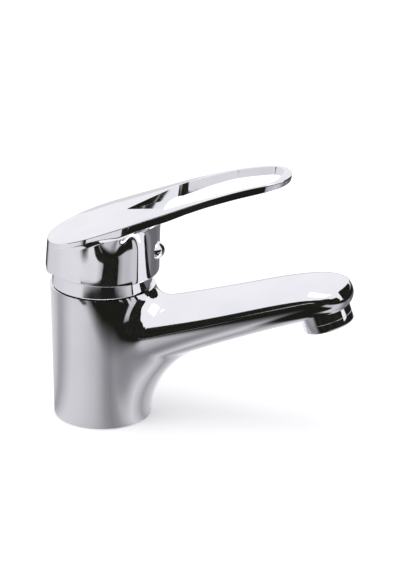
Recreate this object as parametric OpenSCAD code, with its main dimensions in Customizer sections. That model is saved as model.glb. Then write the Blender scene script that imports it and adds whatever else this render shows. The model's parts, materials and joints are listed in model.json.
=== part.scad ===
// Single-lever basin mixer with a cast spout, a loop handle and a 40 mm ceramic cartridge.
// Origin: centre of the base on the deck. +X runs along the spout, +Z is up. Millimetres.

/* [Body] */
// Diameter of the body where it stands on the deck
base_d = 49; // [46:0.5:54]
// Diameter of the body at its top joint
body_top_d = 52.8; // [51.5:0.1:56]
// Height of the body's top joint above the deck
body_h = 71.2; // [70:0.2:76]
// Rounding of the base's lower edge
base_edge = 0.8; // [0.4:0.1:1.5]
// Depth of the hollow under the base
base_recess = 14; // [8:0.5:16]
// Wall round the hollow under the base
base_wall = 3.5; // [3:0.1:5]

/* [Spout] */
// Slope of the spout's middle line
spout_angle = 20; // [16:0.5:23]
// Height where the spout's middle line crosses the body's axis
spout_axis_z = 38; // [36:0.5:40]
// Half height of the spout's upper side near its tip
spout_tip_top_h = 10.6; // [10:0.1:12]
// Half height of the spout's underside near its tip
spout_tip_h = 11.6; // [10.5:0.1:13]
// Half height of the spout at its root
spout_root_h = 19; // [18:0.1:20]
// Half width of the spout near its tip
spout_tip_w = 17; // [15.5:0.1:19]
// Half width of the spout at its root
spout_root_w = 18; // [16:0.1:20]
// Horizontal reach from the body's axis to the middle of the outlet
spout_reach = 119.5; // [112:0.5:126]
// Height of the outlet's lower face above the deck
outlet_h = 62.3; // [60:0.1:66]
// Length of the nose in front of the outlet's axis
nose_l = 14.8; // [14.2:0.1:16]
// How far the upper side bends down at the nose
nose_droop = 8; // [6:0.2:9]
// Fillet between the spout's underside and the body
blend_below = 31; // [24:1:36]
// Fillet between the spout's upper side and the body
blend_above = 13; // [10:0.5:15]
// Fillet between the spout's flanks and the body
blend_side = 6; // [4:0.5:9]
// Width of the waterway inside the spout
channel_w = 24; // [18:0.5:26]
// Height of the waterway inside the spout
channel_h = 12.5; // [11:0.5:14]

/* [Outlet] */
// Outward lean of the outlet's axis
outlet_tilt = 18; // [14:0.5:22]
// Outer diameter of the aerator housing
aerator_d = 26; // [25:0.1:27]
// Height of the aerator housing that shows below its seat
aerator_show = 4.6; // [4:0.1:6]
// Thread diameter of the aerator
aerator_thread_d = 24; // [23:0.1:24.2]
// Length of the aerator's thread
aerator_thread_l = 6; // [5:0.1:7]
// Rounding of the aerator's lower edge
aerator_edge = 0.9; // [0.4:0.1:1.2]
// Thickness of the aerator washer
aerator_washer_t = 1.6; // [1.2:0.1:2]

/* [Cartridge] */
// Height of the cartridge seat above the deck
seat_z = 41; // [40.4:0.1:42]
// Outer diameter of the cartridge housing
cartridge_d = 39.8; // [39.2:0.1:40]
// Outer diameter of the cartridge housing's neck
cartridge_neck_d = 32.6; // [32.4:0.1:33]
// Height of the cartridge housing's shoulder above its seat
shoulder_h = 24; // [23.6:0.1:24.4]
// Height of the cartridge housing's top above its seat
cartridge_h = 36; // [35.5:0.1:36.5]
// Height of the lever pin above the cartridge seat
pin_h = 32; // [31.6:0.1:32.4]
// Diameter of the lever pin
pin_d = 3; // [2.6:0.1:3.4]
// Side of the square stem
stem_side = 8; // [7.6:0.1:8.2]
// Length of the stem above the lever pin
stem_l = 27.4; // [26.5:0.1:27.8]
// Distance from the lever pin down to the stem's ball
ball_arm = 8; // [7.8:0.1:8.2]
// Diameter of the stem's ball
ball_d = 6; // [5.6:0.1:6.2]
// Forward lean of the stem with the lever closed
stem_lean = 10; // [8:0.5:12]
// Thickness of each ceramic disc
disc_t = 4; // [3.6:0.1:4.2]
// Diameter of the fixed ceramic disc
fixed_disc_d = 33.8; // [33:0.1:34]
// Diameter of the moving ceramic disc
moving_disc_d = 27.6; // [26.6:0.1:28]

/* [Handle] */
// Diameter of the handle's cap at its lower rim
cap_d = 56.8; // [56.4:0.1:58]
// Diameter of the handle's cap at its upper crease
cap_top_d = 55; // [54.6:0.1:56]
// Wall of the handle's cap
cap_wall = 2; // [1.8:0.1:2.2]
// Height of the cap's rim above the deck, on the axis
rim_z = 80.2; // [79.8:0.1:82]
// Nose-down lean of the cap's rim
rim_tilt = 2.9; // [2:0.1:3.5]
// Reach of the lever's tip from the body's axis
lever_reach = 99.2; // [97:0.1:104]
// Radius of the lever's tip
lever_tip_r = 14.7; // [14.2:0.1:16]
// Rise of the lever's tip above the cap's rear edge
lever_rise = 44.9; // [43:0.1:47]
// Height of the cap's rear edge above the rim
cap_rear_h = 13.7; // [13.2:0.1:15]
// Thickness of the lever at the cap
lever_root_t = 4.8; // [4.4:0.1:5.4]
// Thickness of the lever at its tip
lever_tip_t = 3.2; // [3:0.1:4]
// Crown of the handle's top
crown_h = 1.4; // [1:0.1:2]
// Fillet between the lever's underside and the cap
lever_fillet = 12; // [9:0.5:13]
// Distance from the body's axis to the loop's pointed end
loop_start = 13.4; // [13:0.1:15]
// Distance from the body's axis to the loop's round end
loop_end = 87.3; // [86.5:0.1:88]
// Slope of the floor at the loop's pointed end
loop_floor_slope = 5; // [4:0.1:6]
// Height of the index button's middle above the deck
button_z = 92; // [91.6:0.1:92.4]
// Diameter of the index button
button_d = 9.6; // [9:0.1:10]
// Height of the index button's dome
button_h = 3.9; // [3:0.1:4.2]
// Diameter of the handle's grub screw
screw_d = 5; // [4:1:5]

/* [Bonnet] */
// Diameter of the bonnet ring at its lower edge
bonnet_d = 51.2; // [50.8:0.1:51.4]
// Diameter of the bonnet ring where the handle's cap covers it
bonnet_top_d = 50; // [49.6:0.1:50.2]
// Thickness of the seal under the bonnet ring
bonnet_seal_t = 0.4; // [0.3:0.1:0.6]
// Diameter of the body's neck inside the bonnet ring
neck_d = 46.6; // [46.4:0.1:46.8]
// Height of the body's neck above the joint
neck_h = 5.3; // [5:0.1:5.6]

/* [Fits] */
// Gap between parts that are screwed or pushed together
fit_gap = 0.05; // [0.02:0.01:0.08]
// Gap between parts that pass each other freely
free_gap = 0.3; // [0.25:0.01:0.35]

/* [Connections] */
// Thread diameter of the two hose inlets
inlet_d = 10; // [9:0.5:10]
// Distance of each hose inlet from the body's axis
inlet_offset = 8; // [7.8:0.1:8.6]
// Thread diameter of the fixing stud hole
stud_d = 8; // [6:1:8]
// Depth of the fixing stud hole
stud_depth = 14; // [13:0.5:15]

/* [Hidden] */
$fn = 72;

// Small step by which a cutting shape runs past the face it cuts
over = 0.5;

// ---- Shape of the body and the spout ----

// Number of points round a section of the body
ring_n = 44;
// Point in front of the body about which the sections turn from level to upright
turn_point = [34, 0, 12];
upright_angle = 97;
// Point under the spout from which they run square across the spout
square_point = [60, 0, 24];
// Height at which the body's form closes in a dome, above its top joint
dome_z = body_h + 1.5;
dome_h = 7;
// Roundness of the spout's section, where 2 is an ellipse
section_power = 2.3;
nose_power = 2.5;
// Lean of the nose's front
nose_lean = 38;
// Share of the spout's length at which its upper side starts to bend down, and how suddenly it does
droop_start = 0.68;
droop_power = 3.4;
// Distance in front of the body's axis at which the blend reaches its full size
blend_front_x = 22;
// How fast the large fillet under the spout fades towards its flanks
blend_power = 3;

function clamp01(t) = min(1, max(0, t));
function ease(t) = let (c = clamp01(t)) c * c * (3 - 2 * c);
function smooth_min(a, b, k) = let (h = max(k - abs(a - b), 0)) min(a, b) - h * h / (4 * k);
function body_r(z) = (base_d + (body_top_d - base_d) * z / body_h) / 2
    - (z < base_edge ? base_edge - sqrt(base_edge ^ 2 - (base_edge - z) ^ 2) : 0);

// Directions of the spout and of the outlet
function angle_dir(angle) = [cos(angle), 0, sin(angle)];
spout_dir = angle_dir(spout_angle);
spout_up = angle_dir(90 + spout_angle);
outlet_up = angle_dir(90 + outlet_tilt);
outlet_mid = [spout_reach, 0, outlet_h];
// Where the outlet's axis crosses the spout's middle line
outlet_mid_n = (outlet_mid - [0, 0, spout_axis_z]) * spout_up;
nose_mid = outlet_mid + outlet_up * (-outlet_mid_n / cos(spout_angle - outlet_tilt));
nose_s = (nose_mid - [0, 0, spout_axis_z]) * spout_dir;
nose_front = nose_l / cos(nose_lean - spout_angle);

function root_share(s) = clamp01(1 - s / nose_s);
function spout_low_h(s) = spout_tip_h + (spout_root_h - spout_tip_h) * root_share(s) ^ 2;
function spout_top_h(s) = spout_tip_top_h + (spout_root_h - spout_tip_top_h) * root_share(s) ^ 1.7
    - nose_droop * clamp01((s / nose_s - droop_start) / (1 + nose_l / nose_s - droop_start)) ^ droop_power;
function spout_w(s) = spout_tip_w + (spout_root_w - spout_tip_w) * root_share(s) ^ 1.7;

// Form measures: below zero inside, about the distance to the surface outside
function upright_form(p) = p.z < dome_z
    ? norm([p.x, p.y]) - body_r(p.z)
    : norm([p.x, p.y, (p.z - dome_z) * body_r(dome_z) / dome_h]) - body_r(dome_z);
function spout_form(p, s, share) = let (
    past_nose = max(0, (p - nose_mid) * angle_dir(nose_lean)),
    past_root = max(0, -s))
    (((abs(p.y) / spout_w(s)) ^ section_power + abs(share) ^ section_power
    + (past_nose / nose_l) ^ nose_power + (past_root / spout_root_w) ^ section_power)
    ^ (1 / section_power) - 1) * (spout_low_h(s) + spout_top_h(s)) / 2;
function body_form(p) = let (
    q = p - [0, 0, spout_axis_z],
    s = q * spout_dir,
    n = q * spout_up,
    share = n / (n > 0 ? spout_top_h(s) : spout_low_h(s)),
    down = -share / max(0.01, norm([p.y / spout_w(s), share])),
    blend = down > 0
        ? blend_side + (blend_below - blend_side) * down ^ blend_power
        : blend_side + (blend_above - blend_side) * down ^ 2,
    front_share = ease(p.x / blend_front_x))
    smooth_min(upright_form(p), spout_form(p, s, share), max(0.01, blend * front_share));

// Distance along a ray at which it leaves the form, by halving
function leave(from, dir, near, far, steps = 15) = let (mid = (near + far) / 2)
    steps == 0 ? mid
    : body_form(from + dir * mid) < 0 ? leave(from, dir, mid, far, steps - 1)
    : leave(from, dir, near, mid, steps - 1);
// The same, for the first place where it leaves, found by strides
function first_leave(from, dir, near, stride) = body_form(from + dir * (near + stride)) < 0
    ? first_leave(from, dir, near + stride, stride)
    : leave(from, dir, near, near + stride);

// One section: the plane through a point, along dir and Y, about a middle found from its ends
function section(point, dir, inside) = let (
    far = first_leave(point, dir, inside, 3),
    near = inside - first_leave(point + dir * inside, -dir, 0, 3),
    mid = point + dir * (near + far) / 2,
    a = (far - near) / 2,
    b = leave(mid, [0, 1, 0], 0, 60))
    [for (i = [0:ring_n - 1]) let (
        ray = dir * a * cos(i * 360 / ring_n) + [0, b * sin(i * 360 / ring_n), 0],
        t = first_leave(mid, ray, 0.3, 0.1))
        mid + ray * t];

fan_steps = 21;
glide_steps = 7;
spout_steps = 9;
nose_steps = 7;
square_angle = 90 + spout_angle;
// Distance from a point below the spout, along dir, to the spout's middle line
function rise_to_line(point, dir) = ([0, 0, spout_axis_z] - point) * spout_up / (dir * spout_up);
turn_rise = rise_to_line(turn_point, angle_dir(upright_angle));
square_s = (square_point - [0, 0, spout_axis_z]) * spout_dir;
function spout_point(s) = [0, 0, spout_axis_z] + spout_dir * s;
// Share of the straight run after which the sections lean over towards the nose's front
lean_from = 0.5;

body_rings = concat(
    [for (z = [0, base_edge * 0.3, base_edge, turn_point.z * 0.5])
        section([turn_point.x, 0, z], [-1, 0, 0], turn_point.x)],
    [for (i = [0:fan_steps]) let (
        turn = (1 - i / fan_steps) ^ 1.2,
        angle = upright_angle + (180 - upright_angle) * turn)
        section(turn_point, angle_dir(angle), turn_rise + (turn_point.x - turn_rise) * turn)],
    [for (i = [1:glide_steps]) let (
        t = i / glide_steps,
        point = turn_point + (square_point - turn_point) * t,
        dir = angle_dir(upright_angle + (square_angle - upright_angle) * t))
        section(point, dir, rise_to_line(point, dir))],
    [for (i = [1:spout_steps]) let (
        t = i / spout_steps,
        lean = (nose_lean - spout_angle) * ease((t - lean_from) / (1 - lean_from)))
        section(spout_point(square_s + (nose_s - square_s) * t), angle_dir(square_angle + lean), 0)],
    [for (i = [1:nose_steps])
        section(spout_point(nose_s + nose_front * 0.99 * sin(i * 85 / nose_steps)),
            angle_dir(90 + nose_lean), 0)]);

// Closed skin over a stack of rings of equal length: a flat start and a pointed end
module ring_skin(rings, last) {
    n = len(rings[0]);
    m = len(rings);
    polyhedron(
        points = concat([for (ring = rings) each ring], [last]),
        faces = concat(
            [[for (i = [0:n - 1]) n - 1 - i]],
            // the two triangles of each cell, split alike on both sides of the part
            [for (j = [0:m - 2], i = [0:n - 1]) let (k = (i + 1) % n, left = 2 * i < n)
                [j * n + i, j * n + k, (j + 1) * n + (left ? i : k)]],
            [for (j = [0:m - 2], i = [0:n - 1]) let (k = (i + 1) % n, left = 2 * i < n)
                [j * n + (left ? k : i), (j + 1) * n + k, (j + 1) * n + i]],
            [for (i = [0:n - 1]) [(m - 1) * n + i, (m - 1) * n + (i + 1) % n, m * n]]));
}

module body_skin() ring_skin(body_rings, spout_point(nose_s + nose_front));

// ---- Levels and radii that the parts share ----

pin_z = seat_z + pin_h;
shoulder_z = seat_z + shoulder_h;
cartridge_top_z = seat_z + cartridge_h;
bore_r = cartridge_d / 2 + free_gap;
nut_washer_t = 0.8;
nut_bottom_z = shoulder_z + nut_washer_t;
nut_r = 21.7;
nut_thread_z = shoulder_z - 2;
neck_top_z = body_h + neck_h;
outlet_seat = aerator_show;
thread_top = outlet_seat + aerator_thread_l;
washer_top = thread_top + aerator_washer_t;
outlet_bore_r = aerator_thread_d / 2 - 3;

base_flange_t = 4;
base_plug_t = 3;
fixed_disc_z = seat_z + base_flange_t + base_plug_t;
moving_disc_z = fixed_disc_z + disc_t;
carrier_z = moving_disc_z + disc_t;
carrier_t = 3.6;
turret_z = carrier_z + carrier_t + free_gap;
turret_flange_t = 1.8;
turret_r = 15;
turret_top_z = cartridge_top_z + 1.5;
housing_wall = 2.7;
housing_bore_r = cartridge_d / 2 - housing_wall;
roof_z = turret_z + turret_flange_t + free_gap;
port_r = 3.6;
port_x = -5.5;
port_y = 7.8;
outlet_port_r = 4.4;
outlet_port_x = 8.6;
port_places = [[port_x, port_y], [port_x, -port_y], [outlet_port_x, 0]];
seal_t = 1.5;
seal_w = 1.8;
locating_pin_r = 2;
locating_pin_l = 1.8;
locating_pin_y = 15.4;
// Place of the stem's ball, and so of the disc carrier, with the lever closed
rest_x = -ball_arm * sin(stem_lean);
ball_z = pin_z - ball_arm * cos(stem_lean);

// Puts children in the outlet's frame: origin at its lower face, +Z up its axis
module at_outlet() translate(outlet_mid) rotate([0, -outlet_tilt, 0]) children();
// Puts children in the stem's frame: origin at the lever pin, +Z up the stem
module at_stem() translate([0, 0, pin_z]) rotate([0, stem_lean, 0]) children();

module tube(r_out, r_in, h) {
    difference() {
        cylinder(r = r_out, h = h);
        translate([0, 0, -over]) cylinder(r = r_in, h = h + 2 * over);
    }
}

// ---- Body ----

mixing_z = 25;
mixing_r = 5;
channel_start = 46;
channel_drop = 1;
floor_z = base_recess;
// Reach of the flat cut at the body's top, and depth of the trued rim under it
top_cut_r = 34;
rim_band_h = 3;

// Waterway: down from the outlet port, up into the spout, and along it to the outlet
module waterway() {
    translate([outlet_port_x, 0, mixing_z]) cylinder(r = outlet_port_r, h = seat_z - mixing_z + over);
    translate([outlet_port_x, 0, mixing_z]) sphere(r = mixing_r);
    rise = [channel_start * cos(spout_angle), 0, spout_axis_z + channel_start * sin(spout_angle)]
        - [outlet_port_x, 0, mixing_z];
    translate([outlet_port_x, 0, mixing_z])
        rotate([0, atan2(rise.x, rise.z), 0])
        cylinder(r = mixing_r, h = norm(rise) + 2);
    half = (channel_w - channel_h) / 2;
    translate([0, 0, spout_axis_z]) rotate([0, 90 - spout_angle, 0])
        translate([channel_drop, 0, channel_start]) {
            for (side = [-1, 1]) translate([0, side * half, 0])
                cylinder(d = channel_h, h = nose_s - channel_start);
            translate([-channel_h / 2, -half, 0]) cube([channel_h, 2 * half, nose_s - channel_start]);
        }
    at_outlet() translate([0, 0, washer_top - over])
        cylinder(r = outlet_bore_r, h = -outlet_mid_n - washer_top + over);
}

module body_casting() color("gainsboro") {
    difference() {
        union() {
            difference() {
                body_skin();
                translate([0, 0, body_h]) cylinder(r = top_cut_r, h = 2 * dome_h);
            }
            // true rim for the bonnet ring to seat on
            translate([0, 0, body_h - rim_band_h])
                cylinder(r1 = body_r(body_h - rim_band_h) + fit_gap, r2 = body_r(body_h), h = rim_band_h);
            translate([0, 0, body_h - 2]) cylinder(d = neck_d, h = neck_h + 2);
            at_outlet() translate([0, 0, outlet_seat])
                cylinder(d = aerator_d, h = -outlet_mid_n - outlet_seat - spout_tip_h / 2);
        }
        translate([0, 0, seat_z]) cylinder(r = bore_r, h = neck_top_z - seat_z + over);
        translate([0, 0, nut_thread_z]) cylinder(r = nut_r + fit_gap, h = neck_top_z - nut_thread_z + over);
        // hollow under the base and the gasket's groove
        translate([0, 0, -over]) cylinder(d = base_d - 2 * base_wall, h = floor_z + over);
        translate([0, 0, -over]) cylinder(r = gasket_r, h = gasket_t + over);
        // hose inlets up to the cartridge's ports
        for (side = [-1, 1]) {
            translate([0, side * inlet_offset, floor_z - over]) cylinder(d = inlet_d, h = inlet_depth + over);
            translate([port_x, side * port_y, floor_z + inlet_depth - over])
                cylinder(r = port_r, h = seat_z - floor_z - inlet_depth + 2 * over);
            translate([0, side * locating_pin_y, seat_z - locating_pin_l - free_gap])
                cylinder(r = locating_pin_r + fit_gap, h = locating_pin_l + 1);
        }
        translate([stud_x, 0, floor_z - over]) cylinder(d = stud_d, h = stud_depth + over);
        waterway();
        at_outlet() translate([0, 0, -over])
            cylinder(d = aerator_thread_d + 2 * fit_gap, h = washer_top + over);
    }
}

inlet_depth = 12;
stud_x = -13;
gasket_r = 22.6;
gasket_inner_r = base_d / 2 - base_wall - 1.6;
gasket_t = 2.4;

module base_gasket() color("dimgray") {
    rotate_extrude() polygon([
        [gasket_inner_r, 0], [gasket_r - fit_gap, 0],
        [gasket_r - fit_gap, gasket_t], [gasket_inner_r, gasket_t]]);
}

// ---- Cartridge ----

module cartridge_base() color("white") {
    difference() {
        union() {
            translate([0, 0, seat_z]) cylinder(r = cartridge_d / 2 - 0.2, h = base_flange_t);
            translate([0, 0, seat_z + base_flange_t - over])
                cylinder(r = housing_bore_r - 0.1, h = base_plug_t + over);
            for (side = [-1, 1]) translate([0, side * locating_pin_y, seat_z - locating_pin_l])
                cylinder(r = locating_pin_r, h = locating_pin_l + over);
        }
        for (place = port_places) translate([place.x, place.y, 0]) {
            r = place.y == 0 ? outlet_port_r : port_r;
            translate([0, 0, seat_z - over]) cylinder(r = r, h = base_flange_t + base_plug_t + 2 * over);
            translate([0, 0, seat_z - over]) cylinder(r = r + seal_w, h = seal_t + over);
            translate([0, 0, fixed_disc_z - seal_t]) cylinder(r = r + seal_w, h = seal_t + over);
        }
    }
}

// Three seal rings at one level
module port_seals(z) {
    for (place = port_places) translate([place.x, place.y, z])
        tube((place.y == 0 ? outlet_port_r : port_r) + seal_w - fit_gap,
            place.y == 0 ? outlet_port_r : port_r, seal_t);
}

module lower_seals() color("dimgray") port_seals(seat_z);
module upper_seals() color("dimgray") port_seals(fixed_disc_z - seal_t);

module cartridge_housing() color("ivory") {
    difference() {
        union() {
            translate([0, 0, seat_z + base_flange_t])
                cylinder(d = cartridge_d, h = shoulder_h - base_flange_t);
            translate([0, 0, shoulder_z - over])
                cylinder(d = cartridge_neck_d, h = cartridge_top_z - shoulder_z + over);
        }
        translate([0, 0, seat_z]) cylinder(r = housing_bore_r, h = roof_z - seat_z);
        translate([0, 0, roof_z - over])
            cylinder(r = turret_r + fit_gap, h = cartridge_top_z - roof_z + 2 * over);
    }
}

module disc_notches(r, z, h) {
    for (side = [-1, 1]) translate([0, side * r, z]) cylinder(r = 1.6, h = h);
}

module fixed_disc() color("whitesmoke") {
    difference() {
        translate([0, 0, fixed_disc_z]) cylinder(d = fixed_disc_d, h = disc_t);
        for (place = port_places) translate([place.x, place.y, fixed_disc_z - over])
            cylinder(r = place.y == 0 ? outlet_port_r : port_r, h = disc_t + 2 * over);
        disc_notches(fixed_disc_d / 2, fixed_disc_z - over, disc_t + 2 * over);
    }
}

mixing_pocket_r = 7.6;

module moving_disc() color("whitesmoke") translate([rest_x, 0, 0]) {
    difference() {
        translate([0, 0, moving_disc_z]) cylinder(d = moving_disc_d, h = disc_t);
        translate([2.5, 0, moving_disc_z - over]) cylinder(r = mixing_pocket_r, h = disc_t / 2 + over);
        disc_notches(moving_disc_d / 2, moving_disc_z - over, disc_t + 2 * over);
    }
}

tower_x = 12;
tower_y = 12;
tower_top_z = ball_z + ball_d / 2 - 0.8;

module disc_carrier() color("darkorange") translate([rest_x, 0, 0]) {
    difference() {
        union() {
            translate([0, 0, carrier_z]) cylinder(d = moving_disc_d, h = carrier_t);
            translate([-tower_x / 2, -tower_y / 2, carrier_z + carrier_t - over])
                cube([tower_x, tower_y, tower_top_z - carrier_z - carrier_t + over]);
            disc_keys();
        }
        translate([0, 0, ball_z - ball_d / 2 - free_gap]) cylinder(r = ball_d / 2 + fit_gap, h = ball_d + 2);
    }
}

// Keys of the carrier in the moving disc's notches
module disc_keys() {
    for (side = [-1, 1]) intersection() {
        translate([0, side * moving_disc_d / 2, moving_disc_z + 1]) cylinder(r = 1.5, h = disc_t);
        translate([0, 0, moving_disc_z]) cylinder(d = moving_disc_d, h = disc_t + 1);
    }
}

carrier_travel = 3.5;
pocket_top_z = ball_z + ball_d / 2 + 0.5;

module cartridge_turret() color("lightgray") {
    difference() {
        union() {
            translate([0, 0, turret_z]) cylinder(r = turret_r + 1.5, h = turret_flange_t);
            translate([0, 0, turret_z]) cylinder(r = turret_r, h = turret_top_z - turret_z);
        }
        translate([rest_x - tower_x / 2 - 2 * free_gap, -tower_y / 2 - fit_gap, turret_z - over])
            cube([tower_x + carrier_travel + 4 * free_gap, tower_y + 2 * fit_gap,
                pocket_top_z - turret_z + over]);
        translate([-stem_side * 0.8, -stem_side / 2 - fit_gap, pocket_top_z - over])
            cube([stem_side * 1.55, stem_side + 2 * fit_gap, turret_top_z - pocket_top_z + 2 * over]);
        translate([0, 0, pin_z]) rotate([90, 0, 0]) cylinder(d = pin_d, h = 2 * turret_r + 2, center = true);
    }
}

limit_ring_t = 1.2;

module limit_ring() color("firebrick") translate([0, 0, cartridge_top_z + free_gap])
    tube(cartridge_neck_d / 2 - 0.1, turret_r + fit_gap, limit_ring_t - free_gap);

module stem() color("goldenrod") at_stem() {
    difference() {
        union() {
            translate([-stem_side / 2, -stem_side / 2, 0]) cube([stem_side, stem_side, stem_l]);
            rotate([90, 0, 0]) cylinder(d = stem_side, h = stem_side, center = true);
            translate([0, 0, -ball_arm]) cylinder(d = ball_d * 0.66, h = ball_arm);
            translate([0, 0, -ball_arm]) sphere(d = ball_d);
        }
        rotate([90, 0, 0]) cylinder(d = pin_d + 2 * fit_gap, h = stem_side + 2 * over, center = true);
    }
}

pin_l = 2 * turret_r - 3;

module stem_pin() color("silver") translate([0, 0, pin_z])
    rotate([90, 0, 0]) cylinder(d = pin_d, h = pin_l, center = true);

nut_body_h = 10.4;
nut_hex_h = 3.2;
nut_hex_af = 36;
nut_bore_r = cartridge_neck_d / 2 + 0.2;

module nut_washer() color("linen") translate([0, 0, shoulder_z])
    tube(cartridge_d / 2 - 0.4, nut_bore_r, nut_washer_t);

module cartridge_nut() color("goldenrod") translate([0, 0, nut_bottom_z]) {
    difference() {
        union() {
            cylinder(r = nut_r, h = nut_body_h);
            cylinder(d = nut_hex_af / cos(30), h = nut_body_h + nut_hex_h, $fn = 6);
        }
        translate([0, 0, -over])
            cylinder(r = nut_bore_r, h = nut_body_h + nut_hex_h + 2 * over);
    }
}

// ---- Bonnet ----

bonnet_z = body_h + bonnet_seal_t;
bonnet_wall = 1.6;
bonnet_top_z = nut_bottom_z + nut_body_h + nut_hex_h + 3.2;
bonnet_hole_r = 17.8;

module bonnet_seal() color("black") translate([0, 0, body_h])
    tube(bonnet_d / 2 - 0.5, neck_d / 2 + fit_gap, bonnet_seal_t);

// Rounded outer corner of the ring, from its wall up to its top
function bonnet_corner(corner, size) = [for (i = [0:6]) let (a = i * 90 / 6)
    [corner.x - size.x * (1 - cos(a)), corner.y - size.y * (1 - sin(a))]];
function reverse(list) = [for (i = [len(list) - 1:-1:0]) list[i]];

module bonnet_ring() color("gainsboro") {
    low_r = bonnet_d / 2;
    top_r = bonnet_top_d / 2;
    inner_r = neck_d / 2 + fit_gap;
    rotate_extrude() polygon(concat(
        [[inner_r, bonnet_z], [low_r - 0.3, bonnet_z], [low_r, bonnet_z + 0.3]],
        bonnet_corner([top_r, bonnet_top_z], [5, 4]),
        [[bonnet_hole_r, bonnet_top_z], [bonnet_hole_r, bonnet_top_z - bonnet_wall]],
        reverse(bonnet_corner([inner_r, bonnet_top_z - bonnet_wall], [4, 3.2]))));
}

// ---- Handle ----

cap_r = cap_d / 2;
crease_r = cap_top_d / 2;
tip_mid_x = lever_reach - lever_tip_r;
tip_side_angle = 70;

function bezier(p, t) = let (u = 1 - t)
    p[0] * u ^ 3 + p[1] * 3 * u ^ 2 * t + p[2] * 3 * u * t ^ 2 + p[3] * t ^ 3;

// Plan of the lever's side, from the cap's flank to the tip's arc
side_end = [tip_mid_x + lever_tip_r * cos(tip_side_angle), lever_tip_r * sin(tip_side_angle)];
side_curve = [[0, crease_r], [side_end.x * 0.29, crease_r],
    side_end - 29 * [sin(tip_side_angle), -cos(tip_side_angle)] + [0, -1.1], side_end];

// Side view of the crease, from the cap's rear edge to the lever's tip
rear_z = rim_z + cap_rear_h + 1.4;
top_curve = [[-crease_r, rear_z], [4, rear_z + lever_rise * 0.185],
    [lever_reach - 29, rear_z + lever_rise * 0.995], [lever_reach, rear_z + lever_rise]];

function top_param(x, lo = 0, hi = 1, steps = 14) = let (mid = (lo + hi) / 2)
    steps == 0 ? mid
    : bezier(top_curve, mid)[0] < x ? top_param(x, mid, hi, steps - 1)
    : top_param(x, lo, mid, steps - 1);
function top_z(x) = bezier(top_curve, top_param(x))[1];
function rim_height(x) = rim_z - x * tan(rim_tilt);
function lever_t(x) = lever_root_t + (lever_tip_t - lever_root_t) * clamp01((x - crease_r) / 38);

rear_n = 12;
flank_n = 14;
tip_n = 6;
half_plan = concat(
    [for (i = [0:rear_n - 1]) let (a = 180 - i * 90 / rear_n) [crease_r * cos(a), crease_r * sin(a)]],
    [for (i = [0:flank_n - 1]) bezier(side_curve, i / flank_n)],
    [for (i = [0:tip_n]) let (a = tip_side_angle * (1 - i / tip_n))
        [tip_mid_x + lever_tip_r * cos(a), lever_tip_r * sin(a)]]);
half_n = len(half_plan);
handle_plan = concat(half_plan, [for (i = [half_n - 2:-1:1]) [half_plan[i].x, -half_plan[i].y]]);

fillet_n = 6;
under_n = 4;
under_step = 0.8;
top_rings = [0.95, 0.85, 0.7, 0.54, 0.38, 0.22];

// Points up one direction of the handle: rim, wall, fillet, underside, edge, crease and top
function handle_profile(p) = let (
    r = norm(p),
    dir = p / r,
    hang = r - crease_r,
    crease_z = top_z(crease_r * dir.x),
    rim = rim_height(cap_r * dir.x),
    corner_z = crease_z - lever_t(crease_r * dir.x),
    fillet = under_step + (lever_fillet - under_step) * ease(hang / 6),
    // on the cap's own flank the steps stay apart up the wall
    step = under_step * clamp01(1 - hang / 4),
    reach = min(lever_fillet, hang * 0.7),
    under_z = function (x) top_z(x) - lever_t(x))
    concat(
        [for (t = [0, 0.5]) let (z = rim + (corner_z - fillet - rim) * t)
            [wall_r(z, rim, crease_z), z]],
        [for (i = [0:fillet_n]) let (
            t = i / fillet_n,
            top = under_z((crease_r + reach) * dir.x) + step,
            z = (corner_z - fillet) * (1 - t) ^ 2 + corner_z * 2 * (1 - t) * t + top * t ^ 2)
            [wall_r(z, rim, crease_z) + reach * t ^ 2, z]],
        [for (i = [1:under_n + 1]) let (
            t = i / (under_n + 1),
            out = reach + (hang - reach) * t,
            z = under_z((crease_r + out) * dir.x) + step * (1 + 2.2 * t))
            [wall_r(z, rim, crease_z) + out, z]],
        [[r, top_z(p.x)]],
        [for (share = top_rings) [r * share, top_z(p.x * share) + crown_h * (1 - share ^ 2)]]);
// Radius of the cap's wall at a height, straight from the rim to the crease
function wall_r(z, rim, crease_z) = cap_r + (crease_r - cap_r) * clamp01((z - rim) / (crease_z - rim));

profiles = [for (p = handle_plan) handle_profile(p)];
plan_n = len(handle_plan);
handle_rings = [for (j = [0:len(profiles[0]) - 1])
    [for (i = [0:plan_n - 1]) let (p = handle_plan[i], dir = p / norm(p), q = profiles[i][j])
        [dir.x * q[0], dir.y * q[0], q[1]]]];

module handle_skin() ring_skin(handle_rings, [0, 0, top_z(0) + crown_h]);

// Plan of the finger loop: pointed at the cap, round at the tip
loop_mid_r = 12;
loop_tip_r = 10.5;
module loop_plan() hull() {
    translate([loop_start + 0.8, 0]) circle(r = 0.8);
    for (side = [-1, 1]) {
        translate([loop_start + 24.6, side * 11.8]) circle(r = 7);
        translate([loop_start + 46.6, side * 5.6]) circle(r = loop_mid_r);
        translate([loop_end - loop_tip_r, side * 3.2]) circle(r = loop_tip_r);
    }
}

loop_floor_z = top_z(loop_start) + crown_h - 0.3;
ceiling_slope = 15;
ceiling_z = loop_floor_z - 10.3;
boss_r = 9;
boss_bottom = 12.5;
button_x = crease_r + (cap_r - crease_r) * (rim_height(cap_r) + 20 - button_z) / 20;
button_seat_x = button_x - 0.6;
screw_l = 5;
screw_at = (button_z - pin_z) * cos(stem_lean) + button_x * sin(stem_lean);
rib_t = 2;
rib_x = 3;

// Everything under the handle's ceiling
module under_ceiling() translate([0, 0, ceiling_z]) rotate([0, -ceiling_slope, 0])
    translate([-60, -50, -60]) cube([120, 100, 60]);

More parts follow.
